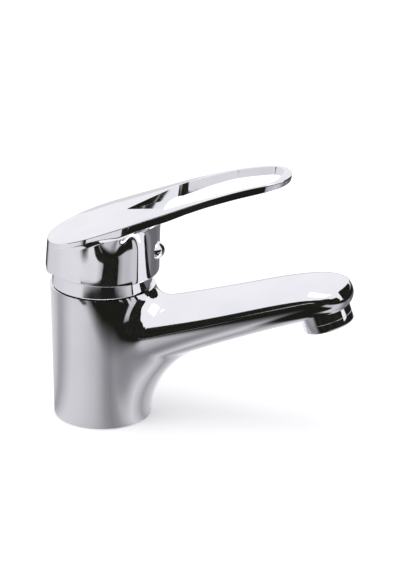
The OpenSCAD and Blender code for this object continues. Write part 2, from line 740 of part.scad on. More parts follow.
module cap_cavity() intersection() {
    translate([0, 0, rim_z - 6])
        cylinder(r1 = cap_r - cap_wall + 0.2, r2 = crease_r - cap_wall - 0.2, h = 36);
    under_ceiling();
}

module handle() color("gainsboro") {
    difference() {
        handle_skin();
        cap_cavity();
        // finger loop, cut down to its sloping floor
        translate([loop_start, 0, loop_floor_z]) rotate([0, loop_floor_slope, 0])
            translate([-loop_start, 0, 0]) linear_extrude(height = 60) loop_plan();
        translate([button_seat_x, 0, button_z]) rotate([0, 90, 0])
            cylinder(d = button_d + 2 * fit_gap, h = 6);
        translate([button_x - 4, 0, button_z]) rotate([0, 90, 0])
            cylinder(r = button_shank_r + fit_gap, h = 8);
    }
    difference() {
        union() {
            intersection() {
                at_stem() translate([0, 0, boss_bottom]) cylinder(r = boss_r, h = 30);
                under_ceiling_over();
            }
            // ribs from the boss to the cap's flanks, clear of the bonnet
            intersection() {
                difference() {
                    translate([rib_x - rib_t / 2, -crease_r + cap_wall, rim_z])
                        cube([rib_t, cap_top_d - 2 * cap_wall, 40]);
                    translate([0, 0, pin_z]) sphere(r = cap_r - cap_wall + 1.2);
                }
                under_ceiling_over();
            }
        }
        at_stem() translate([-stem_side / 2 - fit_gap, -stem_side / 2 - fit_gap, 0])
            cube([stem_side + 2 * fit_gap, stem_side + 2 * fit_gap, stem_l + free_gap]);
        at_stem() translate([0, 0, screw_at]) rotate([0, 90, 0]) cylinder(d = screw_d, h = boss_r + 2);
    }
}

// The same space, taken into the handle's top so that the boss and ribs join it
module under_ceiling_over() translate([0, 0, 1]) under_ceiling();

button_shank_r = 3.4;
button_shank_l = 2.6;
button_rim_t = 0.8;

module index_button() color("silver") translate([button_seat_x, 0, button_z]) rotate([0, 90, 0]) {
    dome_r = ((button_d / 2) ^ 2 + button_h ^ 2) / (2 * button_h);
    translate([0, 0, -button_shank_l]) cylinder(r = button_shank_r, h = button_shank_l + 0.4);
    cylinder(d = button_d, h = button_rim_t);
    intersection() {
        translate([0, 0, button_rim_t + button_h - dome_r]) sphere(r = dome_r);
        translate([0, 0, button_rim_t / 2]) cylinder(d = button_d, h = button_h + 1);
    }
}

module grub_screw() color("dimgray") at_stem() translate([stem_side / 2, 0, screw_at]) rotate([0, 90, 0]) {
    difference() {
        cylinder(d = screw_d, h = screw_l);
        translate([0, 0, screw_l - 2.4]) cylinder(d = screw_d * 0.56, h = 3, $fn = 6);
    }
}

// ---- Outlet ----

insert_r = aerator_thread_d / 2 - 1.4;
mouth_r = insert_r - 0.9;
insert_lip = 1.2;
insert_h = washer_top - aerator_washer_t - insert_lip;
insert_rim = 1.2;
cell = 2.7;
cell_wall = 0.5;
comb_t = 4;
// Room between the honeycomb and the strainer
strainer_gap = 1;

module aerator_housing() color("gainsboro") at_outlet() {
    rotate_extrude() polygon(concat(
        [[mouth_r, 0]],
        [for (i = [0:4]) let (a = -90 + i * 22.5)
            [aerator_d / 2 - aerator_edge + aerator_edge * cos(a), aerator_edge + aerator_edge * sin(a)]],
        [[aerator_d / 2, outlet_seat], [aerator_thread_d / 2, outlet_seat],
            [aerator_thread_d / 2, thread_top], [insert_r + fit_gap, thread_top],
            [insert_r + fit_gap, insert_lip], [mouth_r, insert_lip]]));
}

module aerator_washer() color("dimgray") at_outlet() translate([0, 0, thread_top])
    tube(aerator_thread_d / 2 - 0.1, outlet_bore_r, aerator_washer_t);

// Honeycomb that straightens the jet
module aerator_insert() color("white") at_outlet() translate([0, 0, insert_lip]) {
    difference() {
        cylinder(r = insert_r, h = insert_h);
        for (i = [-4:4], j = [-4:4]) let (
            x = cell * (i + j / 2),
            y = cell * j * sqrt(3) / 2)
            if (norm([x, y]) < insert_r - 1.6)
                translate([x, y, -over]) rotate([0, 0, 30])
                    cylinder(d = (cell - cell_wall) / cos(30), h = comb_t + over, $fn = 6);
        translate([0, 0, comb_t + strainer_gap]) cylinder(r = insert_r - insert_rim, h = insert_h);
    }
}

// Perforated strainer above the honeycomb
hole_pitch = 2;
hole_d = 1.1;
screen_z = insert_lip + comb_t + strainer_gap;

module aerator_screen() color("silver") at_outlet() translate([0, 0, screen_z]) {
    difference() {
        cylinder(r = insert_r - insert_rim - fit_gap, h = 0.6);
        for (i = [-4:4], j = [-4:4]) let (x = hole_pitch * i, y = hole_pitch * j)
            if (norm([x, y]) < insert_r - 2.6)
                translate([x, y, -over]) cylinder(d = hole_d, h = 2, $fn = 16);
    }
}

body_casting();
base_gasket();
cartridge_housing();
cartridge_base();
lower_seals();
upper_seals();
fixed_disc();
moving_disc();
disc_carrier();
cartridge_turret();
limit_ring();
stem();
stem_pin();
nut_washer();
cartridge_nut();
bonnet_seal();
bonnet_ring();
handle();
grub_screw();
index_button();
aerator_housing();
aerator_washer();
aerator_insert();
aerator_screen();
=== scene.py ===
import json
import math
import bmesh
import bpy
import numpy as np
from mathutils import Matrix, Vector


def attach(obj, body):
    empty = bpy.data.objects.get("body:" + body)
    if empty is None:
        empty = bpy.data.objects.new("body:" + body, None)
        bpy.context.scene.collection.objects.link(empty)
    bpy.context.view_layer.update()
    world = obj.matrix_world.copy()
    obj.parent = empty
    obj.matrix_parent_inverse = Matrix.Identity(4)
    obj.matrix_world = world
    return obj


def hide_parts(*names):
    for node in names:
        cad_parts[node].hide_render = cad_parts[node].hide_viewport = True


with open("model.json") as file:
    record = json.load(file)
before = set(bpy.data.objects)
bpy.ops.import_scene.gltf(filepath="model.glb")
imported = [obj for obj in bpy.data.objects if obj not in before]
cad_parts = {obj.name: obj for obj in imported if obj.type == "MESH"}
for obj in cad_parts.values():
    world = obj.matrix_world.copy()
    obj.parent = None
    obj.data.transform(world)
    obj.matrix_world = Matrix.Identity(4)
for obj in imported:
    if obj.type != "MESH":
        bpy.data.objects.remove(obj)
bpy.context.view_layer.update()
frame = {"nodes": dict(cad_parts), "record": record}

nodes = frame["nodes"]
scene = bpy.context.scene
mm = 0.001
print("frame loaded")


def srgb(code):
    # "#rrggbb" as written in a paint program, turned to linear light
    parts = [int(code[i:i + 2], 16) / 255 for i in (1, 3, 5)]
    return [c / 12.92 if c <= 0.04045 else ((c + 0.055) / 1.055) ** 2.4 for c in parts] + [1.0]


def addNode(tree, kind, inputs=None, links=None, **settings):
    # one node: its settings, its socket values, and links given as socket name to another node's output
    node = tree.nodes.new(kind)
    for name, value in settings.items():
        setattr(node, name, value)
    for name, value in (inputs or {}).items():
        node.inputs[name].default_value = value
    for name, source in (links or {}).items():
        tree.links.new(source, node.inputs[name])
    return node


def newMaterial(name):
    material = bpy.data.materials.new(name)
    material.use_nodes = True
    tree = material.node_tree
    place = addNode(tree, "ShaderNodeTexCoord").outputs["Object"]
    return material, tree, tree.nodes["Principled BSDF"], place


def addNoise(tree, place, sizeMm, detail, **inputs):
    return addNode(tree, "ShaderNodeTexNoise", {"Scale": 1 / (sizeMm * mm), "Detail": detail, **inputs},
                   {"Vector": place}).outputs["Fac"]


def ramp(tree, source, stops):
    # colour ramp with any number of (position, colour) stops
    node = addNode(tree, "ShaderNodeValToRGB", links={"Fac": source})
    while len(node.color_ramp.elements) < len(stops):
        node.color_ramp.elements.new(0.5)
    for element, (position, colour) in zip(node.color_ramp.elements, stops):
        element.position = position
        element.color = colour
    return node.outputs["Color"]


def setTones(tree, shader, noise, low, shade, high, colour):
    # the surface drifts between two close tones
    tone = ramp(tree, noise, [(low, srgb(shade)), (high, srgb(colour))])
    tree.links.new(tone, shader.inputs["Base Color"])


def setRoughness(tree, shader, noise, low, high, **limits):
    rough = addNode(tree, "ShaderNodeMapRange", {**limits, "To Min": low, "To Max": high}, {"Value": noise})
    tree.links.new(rough.outputs["Result"], shader.inputs["Roughness"])


def setBump(tree, shader, noise, strength, depthMm):
    bump = addNode(tree, "ShaderNodeBump", {"Strength": strength, "Distance": depthMm * mm}, {"Height": noise})
    tree.links.new(bump.outputs["Normal"], shader.inputs["Normal"])


def ease(t):
    # 0 to 1 with a soft start and end
    t = np.clip(t, 0, 1)
    return t * t * (3 - 2 * t)


def smoothShade(mesh, sharpAngle=None):
    mesh.polygons.foreach_set("use_smooth", [True] * len(mesh.polygons))
    if sharpAngle:
        mesh.set_sharp_from_angle(angle=math.radians(sharpAngle))
    mesh.update()


def makeObject(name, bm, material=None, sharpAngle=None):
    # the finished mesh as an object at the origin, smooth but for edges sharper than sharpAngle degrees
    mesh = bpy.data.meshes.new(name)
    bm.to_mesh(mesh)
    bm.free()
    piece = bpy.data.objects.new(name, mesh)
    scene.collection.objects.link(piece)
    if material:
        mesh.materials.append(material)
    smoothShade(mesh, sharpAngle)
    return piece


def turned(profile, steps=128, closed=False, frameOf=None):
    # a turned shape: (radius, height) points in millimetres spun about Z, then put in another frame if asked
    bm = bmesh.new()
    verts = [bm.verts.new((radius * mm, 0, height * mm)) for radius, height in profile]
    edges = [bm.edges.new(pair) for pair in zip(verts, verts[1:] + (verts[:1] if closed else []))]
    bmesh.ops.spin(bm, geom=verts + edges, cent=(0, 0, 0), axis=(0, 0, 1), dvec=(0, 0, 0),
                   angle=math.tau, steps=steps, use_merge=True, use_duplicate=False)
    bmesh.ops.remove_doubles(bm, verts=bm.verts[:], dist=1e-7)
    bmesh.ops.recalc_face_normals(bm, faces=bm.faces[:])
    if frameOf:
        bmesh.ops.transform(bm, matrix=frameOf, verts=bm.verts[:])
    return bm


def turnedSolid(points, **options):
    # a turned solid's profile starts and ends on the axis
    return turned([(0, points[0][1])] + points + [(0, points[-1][1])], **options)


def loft(rows, closeEnds=False):
    # a sleeve from rows of points, each a ring, on one grid whose seam is merged
    count, ringSize = len(rows), len(rows[0])
    bm = bmesh.new()
    bmesh.ops.create_grid(bm, x_segments=ringSize, y_segments=count - 1, size=1)
    for vert in bm.verts:
        i = round((vert.co.x + 1) / 2 * ringSize) % ringSize
        j = round((vert.co.y + 1) / 2 * (count - 1))
        vert.co = Vector(rows[j][i]) * mm
    bmesh.ops.remove_doubles(bm, verts=bm.verts[:], dist=1e-7)
    if closeEnds:
        bmesh.ops.holes_fill(bm, edges=[e for e in bm.edges if e.is_boundary], sides=0)
    bmesh.ops.recalc_face_normals(bm, faces=bm.faces[:])
    return bm


def cutWith(piece, cutterBm, operation="DIFFERENCE"):
    # one exact boolean, applied to the mesh
    cutter = makeObject("cutter", cutterBm)
    modifier = piece.modifiers.new("cut", "BOOLEAN")
    modifier.object = cutter
    modifier.operation = operation
    modifier.solver = "EXACT"
    depsgraph = bpy.context.evaluated_depsgraph_get()
    made = bpy.data.meshes.new_from_object(piece.evaluated_get(depsgraph))
    piece.modifiers.clear()
    spent = [piece.data, cutter.data]
    piece.data = made
    bpy.data.objects.remove(cutter)
    for mesh in spent:
        bpy.data.meshes.remove(mesh)


# bright nickel-chrome plate on a buffed casting: a cold mirror with the faint waves that buffing leaves
chrome = {
    "colour": "#fafafc", "cloud": "#f3f3f6", "cloudMm": 30, "roughness": 0.035, "roughSpread": 0.03, "hazeMm": 6,
    "peelMm": 9, "peelBump": 0.012, "peelDepthMm": 1,
}


def makeChrome(name, look):
    material, tree, shader, place = newMaterial(name)
    shader.inputs["Metallic"].default_value = 1.0
    cloud = addNoise(tree, place, look["cloudMm"], 2, Roughness=0.5)
    setTones(tree, shader, cloud, 0.35, look["cloud"], 0.65, look["colour"])
    haze = addNoise(tree, place, look["hazeMm"], 4, Roughness=0.6)
    setRoughness(tree, shader, haze, look["roughness"], look["roughness"] + look["roughSpread"],
                 **{"From Min": 0.35, "From Max": 0.75})
    setBump(tree, shader, addNoise(tree, place, look["peelMm"], 1), look["peelBump"], look["peelDepthMm"])
    return material


# injection-moulded acetal or nylon: waxy, slightly uneven in tone, with a fine spark-eroded grain
moulded = {"cloudMm": 12, "grainBump": 0.15, "grainDepthMm": 0.1, "smoother": 0.06, "rougher": 0.1, "ior": 1.48}


def makeMoulded(name, colour, shade, roughness=0.42, grainMm=0.35):
    material, tree, shader, place = newMaterial(name)
    setTones(tree, shader, addNoise(tree, place, moulded["cloudMm"], 3), 0.3, shade, 0.7, colour)
    grain = addNoise(tree, place, grainMm, 2)
    setRoughness(tree, shader, grain, roughness - moulded["smoother"], roughness + moulded["rougher"])
    setBump(tree, shader, grain, moulded["grainBump"], moulded["grainDepthMm"])
    shader.inputs["IOR"].default_value = moulded["ior"]
    return material


# metal straight from the lathe or the die: rings of tool marks over a slightly mottled tone
machined = {"cloudMm": 8, "waveRate": 20, "distortion": 0.4, "smoother": 0.05, "rougher": 0.08}


def makeMachined(name, colour, shade, roughness, markMm):
    # the wave texture's phase is waveRate times its scaled place, so the rings come tau * markMm apart
    material, tree, shader, place = newMaterial(name)
    shader.inputs["Metallic"].default_value = 1.0
    setTones(tree, shader, addNoise(tree, place, machined["cloudMm"], 4), 0.3, shade, 0.7, colour)
    scale = 1 / (markMm * mm) / machined["waveRate"]
    marks = addNode(tree, "ShaderNodeTexWave", {"Scale": scale, "Distortion": machined["distortion"]},
                    {"Vector": place}, wave_type="BANDS", bands_direction="Z")
    setRoughness(tree, shader, marks.outputs["Fac"], roughness - machined["smoother"],
                 roughness + machined["rougher"])
    return material


# moulded nitrile rubber: near-black, dull, with a faint bloom
rubber = {"colour": "#161617", "bloom": "#26272a", "bloomMm": 4, "smooth": 0.55, "dull": 0.8, "ior": 1.52}


def makeRubber(name, look):
    material, tree, shader, place = newMaterial(name)
    bloom = addNoise(tree, place, look["bloomMm"], 5)
    setTones(tree, shader, bloom, 0.35, look["colour"], 0.75, look["bloom"])
    setRoughness(tree, shader, bloom, look["smooth"], look["dull"])
    shader.inputs["IOR"].default_value = look["ior"]
    return material


chromePlate = makeChrome("chromePlate", chrome)
finishes = {
    "seal_rubber": makeRubber("nitrileRubber", rubber),
    "cartridge_plastic": makeMoulded("acetalNatural", "#e8e5da", "#dcd8ca"),
    "grey_plastic": makeMoulded("nylonGrey", "#8b8d91", "#7c7e83"),
    "orange_plastic": makeMoulded("acetalOrange", "#dd6a21", "#c95c1a"),
    "red_plastic": makeMoulded("acetalRed", "#b3231d", "#9c1c18"),
    "ceramic": makeMoulded("aluminaGround", "#efece4", "#e6e2d8", roughness=0.22, grainMm=0.2),
    "raw_brass": makeMachined("brassTurned", "#c9a052", "#b68d43", 0.28, 0.3),
    "stainless": makeMachined("stainlessDrawn", "#b9babd", "#a9aaae", 0.24, 0.25),
    "chrome_plate": chromePlate,
}
slotOf = {entry["node"]: entry["material_slot"] for entry in frame["record"]["subparts"]}
for nodeName, cadObject in nodes.items():
    cadObject.data.materials.clear()
    cadObject.data.materials.append(finishes[slotOf[nodeName]])
    cadObject.visible_glossy = False  # the working parts leave no picture in the chrome
print("materials made")


# Body and spout are one casting: a round, slightly flared upright and a flattened spout, melted together.
# Its sections are level at the foot, then swing round the point "turn" and glide on to "square", both of them under
# the spout. All sizes are in millimetres and angles in degrees.
body = {
    "baseD": 49, "topD": 52.8, "height": 71.2, "baseEdge": 0.8, "recess": 14, "wall": 3.5,
    "spoutAngle": 20, "axisZ": 38, "tipTopH": 10.6, "tipH": 11.6, "rootH": 19, "tipW": 17, "rootW": 18,
    "noseL": 14.8, "noseDroop": 8, "noseLean": 38, "droopStart": 0.68, "droopPower": 3.4,
    "reach": 119.5, "outletH": 62.3, "outletTilt": 18,
    "blendBelow": 31, "blendAbove": 13, "blendSide": 6, "blendPower": 3, "blendFrontX": 22,
    "sectionPower": 2.3, "nosePower": 2.5, "rootPower": 1.7, "domeRise": 1.5, "domeH": 7,
    "turn": (34, 0, 12), "uprightAngle": 97, "square": (60, 0, 24),
    "ringSize": 112, "edgeArc": (0, 12, 30, 50, 70, 90), "baseRows": 10, "fanRows": 64, "fanPower": 1.25,
    "glideRows": 18, "spoutRows": 20, "noseRows": 22, "noseShare": 0.997, "noseArc": 88, "sharp": 30,
}


def direction(angle):
    # a unit step in the XZ plane
    return np.array([math.cos(math.radians(angle)), 0, math.sin(math.radians(angle))])


domeZ = body["height"] + body["domeRise"]
spoutRoot = np.array([0, 0, body["axisZ"]], float)
spoutDir, spoutUp = direction(body["spoutAngle"]), direction(90 + body["spoutAngle"])
outletUp = direction(90 + body["outletTilt"])
outletMid = np.array([body["reach"], 0, body["outletH"]])
outletN = (outletMid - spoutRoot) @ spoutUp
outletLean = math.cos(math.radians(body["spoutAngle"] - body["outletTilt"]))
noseMid = outletMid - outletUp * outletN / outletLean
noseS = (noseMid - spoutRoot) @ spoutDir


def bodyRadius(z):
    edge = body["baseEdge"]
    inset = np.where(z < edge, edge - np.sqrt(np.maximum(edge ** 2 - (edge - z) ** 2, 0)), 0)
    return (body["baseD"] + (body["topD"] - body["baseD"]) * z / body["height"]) / 2 - inset


def bodyForm(p):
    # below zero inside the casting, about the distance to its surface outside; p is an array of points in mm
    q = p - spoutRoot
    s, n, y = q @ spoutDir, q @ spoutUp, p[:, 1]
    share = np.clip(1 - s / noseS, 0, 1)
    past = np.clip((s / noseS - body["droopStart"]) / (1 + body["noseL"] / noseS - body["droopStart"]), 0, 1)
    below = body["tipH"] + (body["rootH"] - body["tipH"]) * share ** 2
    above = (body["tipTopH"] + (body["rootH"] - body["tipTopH"]) * share ** body["rootPower"]
             - body["noseDroop"] * past ** body["droopPower"])
    halfH = np.where(n > 0, above, below)
    halfW = body["tipW"] + (body["rootW"] - body["tipW"]) * share ** body["rootPower"]
    power = body["sectionPower"]
    pastNose = np.maximum((p - noseMid) @ direction(body["noseLean"]), 0) / body["noseL"]
    pastRoot = np.maximum(-s, 0) / body["rootW"]
    spout = ((np.abs(y) / halfW) ** power + (np.abs(n) / halfH) ** power
             + pastNose ** body["nosePower"] + pastRoot ** power) ** (1 / power)
    spout = (spout - 1) * (above + below) / 2
    lift = np.maximum(p[:, 2] - domeZ, 0) * bodyRadius(domeZ) / body["domeH"]
    upright = np.sqrt(p[:, 0] ** 2 + y ** 2 + lift ** 2) - bodyRadius(np.minimum(p[:, 2], domeZ))
    # the blend between the two is widest under the spout and fades out behind the body's axis
    down = -(n / halfH) / np.maximum(0.01, np.hypot(y / halfW, n / halfH))
    side = body["blendSide"]
    blend = np.where(down > 0, side + (body["blendBelow"] - side) * np.abs(down) ** body["blendPower"],
                     side + (body["blendAbove"] - side) * down ** 2)
    blend = np.maximum(0.01, blend * ease(p[:, 0] / body["blendFrontX"]))
    meet = np.maximum(blend - np.abs(upright - spout), 0)
    return np.minimum(upright, spout) - meet ** 2 / (4 * blend)


def firstLeave(start, ray, near=0, stride=1.0):
    # how far along each ray its point first leaves the form: strides out, then halving back
    low = np.full(len(ray), float(near))
    moving = np.ones(len(ray), bool)
    while moving.any():
        moving &= bodyForm(start + ray * (low + stride)[:, None]) < 0
        low[moving] += stride
    high = low + stride
    for _ in range(22):
        mid = (low + high) / 2
        inside = bodyForm(start + ray * mid[:, None]) < 0
        low, high = np.where(inside, mid, low), np.where(inside, high, mid)
    return low


def section(point, way, inside):
    # one ring of the casting, in the plane through a point along way and Y; inside is how far along way it is solid
    inPoint = point + way * inside
    far = inside + firstLeave(inPoint[None], way[None])[0]
    near = inside - firstLeave(inPoint[None], -way[None])[0]
    mid = point + way * (near + far) / 2
    halfDeep = (far - near) / 2
    halfWide = firstLeave(mid[None], np.array([[0, 1.0, 0]]))[0]
    turns = np.arange(body["ringSize"]) * math.tau / body["ringSize"]
    rays = way * (halfDeep * np.cos(turns))[:, None] + np.array([0, 1, 0]) * (halfWide * np.sin(turns))[:, None]
    return mid + rays * firstLeave(mid[None], rays, near=0.3, stride=0.05)[:, None]


def riseToLine(point, way):
    # how far along way from a point the spout's middle line is
    return (spoutRoot - point) @ spoutUp / (way @ spoutUp)


def castingRows():
    turn, square = np.array(body["turn"], float), np.array(body["square"], float)
    turnRise = riseToLine(turn, direction(body["uprightAngle"]))
    squareS = (square - spoutRoot) @ spoutDir
    edge = body["baseEdge"]
    # level rings up the foot
    levels = [edge * (1 - math.cos(math.radians(a))) for a in body["edgeArc"]]
    levels += list(np.linspace(edge, turn[2], body["baseRows"])[1:-1])
    rows = [section(np.array([turn[0], 0, z]), np.array([-1.0, 0, 0]), turn[0]) for z in levels]
    # a fan round the turn, over the body's top
    for i in range(body["fanRows"] + 1):
        share = (1 - i / body["fanRows"]) ** body["fanPower"]
        angle = body["uprightAngle"] + (180 - body["uprightAngle"]) * share
        rows.append(section(turn, direction(angle), turnRise + (turn[0] - turnRise) * share))
    # a glide until the rings stand square to the spout
    for i in range(1, body["glideRows"] + 1):
        t = i / body["glideRows"]
        point = turn + (square - turn) * t
        way = direction(body["uprightAngle"] + (90 + body["spoutAngle"] - body["uprightAngle"]) * t)
        rows.append(section(point, way, riseToLine(point, way)))
    # along the spout, leaning with the nose near its end, and round the nose to its tip
    lean = body["noseLean"] - body["spoutAngle"]
    for i in range(1, body["spoutRows"] + 1):
        t = i / body["spoutRows"]
        way = direction(90 + body["spoutAngle"] + lean * ease(2 * t - 1))
        rows.append(section(spoutRoot + spoutDir * (squareS + (noseS - squareS) * t), way, 0))
    noseFront = body["noseL"] / math.cos(math.radians(lean))
    for i in range(1, body["noseRows"] + 1):
        along = noseS + noseFront * body["noseShare"] * math.sin(math.radians(i * body["noseArc"] / body["noseRows"]))
        rows.append(section(spoutRoot + spoutDir * along, direction(90 + body["noseLean"]), 0))
    rows.append([spoutRoot + spoutDir * (noseS + noseFront)] * body["ringSize"])
    return rows


casting = makeObject("bodyCasting", loft(castingRows(), closeEnds=True), chromePlate)
print("casting skinned", len(casting.data.polygons))

# the cartridge chamber with its neck, the gasket's groove, the hose and stud holes, and the outlet
chamber = {
    "boreR": 20.2, "seatZ": 41, "threadR": 21.75, "threadZ": 63, "openZ": 90,
    "neckR": 23.3, "neckSink": 2, "neckTopZ": 76.5, "neckEdge": 0.4, "clearR": 34, "clearH": 20,
}
groove = {"r": 22.6, "depth": 2.4}
inlets = {"d": 10, "depth": 12, "offset": 8, "studD": 8, "studDepth": 14, "studX": -13}
outlet = {
    "d": 26, "show": 4.6, "threadD": 24, "threadL": 6, "threadPlay": 0.05, "washerT": 1.6, "edge": 0.9,
    "land": 3, "depth": 15,
}
overlap = 1  # how far a cutter stands out of the face it starts from
outletFrame = (Matrix.Translation(Vector(outletMid) * mm)
               @ Matrix.Rotation(-math.radians(body["outletTilt"]), 4, "Y"))


def castingCuts():
    # a flat shoulder, and on it the neck that the bonnet ring slips over
    height, c = body["height"], chamber
    cutWith(casting, turnedSolid([(c["clearR"], height), (c["clearR"], height + c["clearH"])]))
    neck = [(c["neckR"], height - c["neckSink"]), (c["neckR"], c["neckTopZ"] - c["neckEdge"]),
            (c["neckR"] - c["neckEdge"], c["neckTopZ"])]
    cutWith(casting, turnedSolid(neck), "UNION")
    # the boss round the aerator, up into the spout
    bossTop = -outletN / outletLean - body["tipH"] / 2
    boss = [(outlet["d"] / 2, outlet["show"]), (outlet["d"] / 2, bossTop)]
    cutWith(casting, turnedSolid(boss, frameOf=outletFrame), "UNION")
    # cartridge bore with its wider thread for the nut
    cutWith(casting, turnedSolid([(c["boreR"], c["seatZ"]), (c["boreR"], c["threadZ"]), (c["threadR"], c["threadZ"]),
                                  (c["threadR"], c["openZ"])]))
    # hollow under the base, with the gasket's groove
    hollowR = body["baseD"] / 2 - body["wall"]
    cutWith(casting, turnedSolid([(groove["r"], -overlap), (groove["r"], groove["depth"]),
                                  (hollowR, groove["depth"]), (hollowR, body["recess"])]))
    holes = [(inlets["studX"], 0, inlets["studD"], inlets["studDepth"])]
    holes += [(0, side * inlets["offset"], inlets["d"], inlets["depth"]) for side in (1, -1)]
    for x, y, d, depth in holes:
        hole = [(d / 2, body["recess"] - overlap), (d / 2, body["recess"] + depth)]
        cutWith(casting, turnedSolid(hole, steps=48, frameOf=Matrix.Translation((x * mm, y * mm, 0))))
    # bore for the aerator, narrower past its washer
    threadR, landR = outlet["threadD"] / 2 + outlet["threadPlay"], outlet["threadD"] / 2 - outlet["land"]
    washerTop = outlet["show"] + outlet["threadL"] + outlet["washerT"]
    mouth = [(threadR, 0), (threadR, washerTop), (landR, washerTop), (landR, outlet["depth"])]
    cutWith(casting, turnedSolid(mouth, frameOf=outletFrame))


castingCuts()
smoothShade(casting.data, body["sharp"])
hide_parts("body_casting")
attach(casting, "body")
print("casting cut", len(casting.data.polygons))


# bonnet ring: a thin turned cap over the neck, round at its shoulder. "round" and "innerRound" are the shoulder's
# width and height; "foot" is how far in and up the points of the lower edge are.
bonnet = {
    "d": 51.2, "topD": 50, "bottom": 71.6, "top": 82.6, "wall": 1.6, "holeR": 17.8, "innerR": 23.35,
    "round": (5, 4), "innerRound": (4, 3.2), "foot": [(0.3, 0), (0.09, 0.09), (0, 0.3), (0.02, 0.5)],
    "steps": 160, "sharp": 30,
}


def bonnetProfile(b):
    top, arc = b["top"], [math.radians(a) for a in range(0, 91, 6)]

    def shoulder(radius, height, size, angles):
        wide, high = size
        return [(radius - wide + wide * math.cos(a), height - high + high * math.sin(a)) for a in angles]

    foot = [(b["d"] / 2 - inwards, b["bottom"] + up) for inwards, up in b["foot"]]
    return ([(b["innerR"], b["bottom"])] + foot + shoulder(b["topD"] / 2, top, b["round"], arc)
            + [(b["holeR"], top), (b["holeR"], top - b["wall"])]
            + shoulder(b["innerR"], top - b["wall"], b["innerRound"], reversed(arc)))


bonnetRing = makeObject("bonnetRing", turned(bonnetProfile(bonnet), steps=bonnet["steps"], closed=True), chromePlate,
                        bonnet["sharp"])
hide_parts("bonnet_ring")
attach(bonnetRing, "body")


# handle: a cap whose flat, rising top runs out into a lever
handle = {
    "capD": 56.8, "topD": 55, "wall": 2, "rimZ": 80.2, "rimTilt": 2.9, "reach": 99.2, "tipR": 14.7, "rise": 44.9,
    "rearH": 13.7, "rearLift": 1.4, "crown": 1.4, "fillet": 12, "tipSide": 70,
    "rimRound": 0.5, "rimEdge": 0.3, "creaseRound": 0.6, "edgeRound": 0.5,
    # the lever's thickness at places along it
    "thick": [(27, 5.3), (42, 5.2), (52, 4.5), (60, 4.2), (84, 4.25), (92, 3.8), (99, 3.3)],
    # curve handles of the top seen from the side (x, share of the rise) and of the flank seen from above
    "topRear": (4, 0.185), "topFront": (29, 0.995), "flankRear": 0.29, "flankFront": 29, "flankIn": 1.1,
    # the cap leans forward with its rim: more room at the front, and a front wall that opens upwards
    "frontOut": 0.3, "sideOut": 0.35, "frontLean": 0.85, "leanOver": 3,
    # the inner wall's radius over the wall thickness, and how it narrows upwards
    "innerOut": 0.2, "innerLean": 0.4, "innerFrom": 6, "innerOver": 36,
    # the lever's underside: a step by the cap, a side that leans in, and a sweep that fills out with the overhang
    "underStep": 0.8, "stepGrow": 2.2, "undercut": 8, "rootOver": 4, "lipFrom": 4, "lipOver": 5, "lipIn": 0.3,
    "bowFrom": 3, "bowOver": 6,
    # points round the plan from the rear to the tip, and up each column
    "rearN": 44, "flankN": 64, "tipN": 26, "innerN": 8, "wallN": 12, "sweepN": 14, "underN": 9, "topN": 25,
    "sharp": 32,
}
capR, creaseR = handle["capD"] / 2, handle["topD"] / 2
tipMidX = handle["reach"] - handle["tipR"]
rearZ = handle["rimZ"] + handle["rearH"] + handle["rearLift"]


def bezier(points, t):
    u = 1 - t
    return [a * u ** 3 + 3 * b * u * u * t + 3 * c * u * t * t + d * t ** 3 for a, b, c, d in zip(*points)]


def topCurve(h):
    return [(-creaseR, rearZ), (h["topRear"][0], rearZ + h["rise"] * h["topRear"][1]),
            (h["reach"] - h["topFront"][0], rearZ + h["rise"] * h["topFront"][1]), (h["reach"], rearZ + h["rise"])]


def flankCurve(h):
    # the crease seen from above, from the cap's side to where the round tip starts
    sideSin, sideCos = math.sin(math.radians(h["tipSide"])), math.cos(math.radians(h["tipSide"]))
    x, y = tipMidX + h["tipR"] * sideCos, h["tipR"] * sideSin
    return [(0, creaseR), (x * h["flankRear"], creaseR),
            (x - h["flankFront"] * sideSin, y + h["flankFront"] * sideCos - h["flankIn"]), (x, y)]


topPoints = topCurve(handle)


def topZ(x):
    # height of the crease over a place along the lever
    low, high = 0.0, 1.0
    for _ in range(24):
        mid = (low + high) / 2
        low, high = (mid, high) if bezier(topPoints, mid)[0] < x else (low, mid)
    return bezier(topPoints, low)[1]


def leverT(x):
    return float(np.interp(x, *zip(*handle["thick"])))


def underZ(x):
    return topZ(x) - leverT(x)


def rimHeight(x):
    return handle["rimZ"] - x * math.tan(math.radians(handle["rimTilt"]))


# The finger loop follows the outline of circles: a small one by the cap, then pairs either side of the middle,
# given as how far along from its start, how far off the middle, and radius. "middleX" lies inside that outline.
# The cap's ceiling starts "skin" below the loop's floor and has its own slope.
loop = {
    "start": 13.4, "end": 87.3, "floorSlope": 11, "sink": 0.3, "noseR": 0.8, "wide": (24.6, 11.8, 7),
    "waist": (46.6, 5.6, 12), "tipOff": 3.2, "tipR": 10.5, "middleX": 50, "drawUp": 60,
    "skin": 10.3, "ceilingSlope": 15,
}
loopFloorZ = topZ(loop["start"]) + handle["crown"] - loop["sink"]


def ceilingZ(x):
    # the cap's ceiling, under the loop's floor
    return loopFloorZ - loop["skin"] + x * math.tan(math.radians(loop["ceilingSlope"]))


def innerR(z):
    # the cap's inner wall, which narrows upwards
    h = handle
    narrowing = (capR - creaseR + h["innerLean"]) * (z - h["rimZ"] + h["innerFrom"]) / h["innerOver"]
    return capR - h["wall"] + h["innerOut"] - narrowing


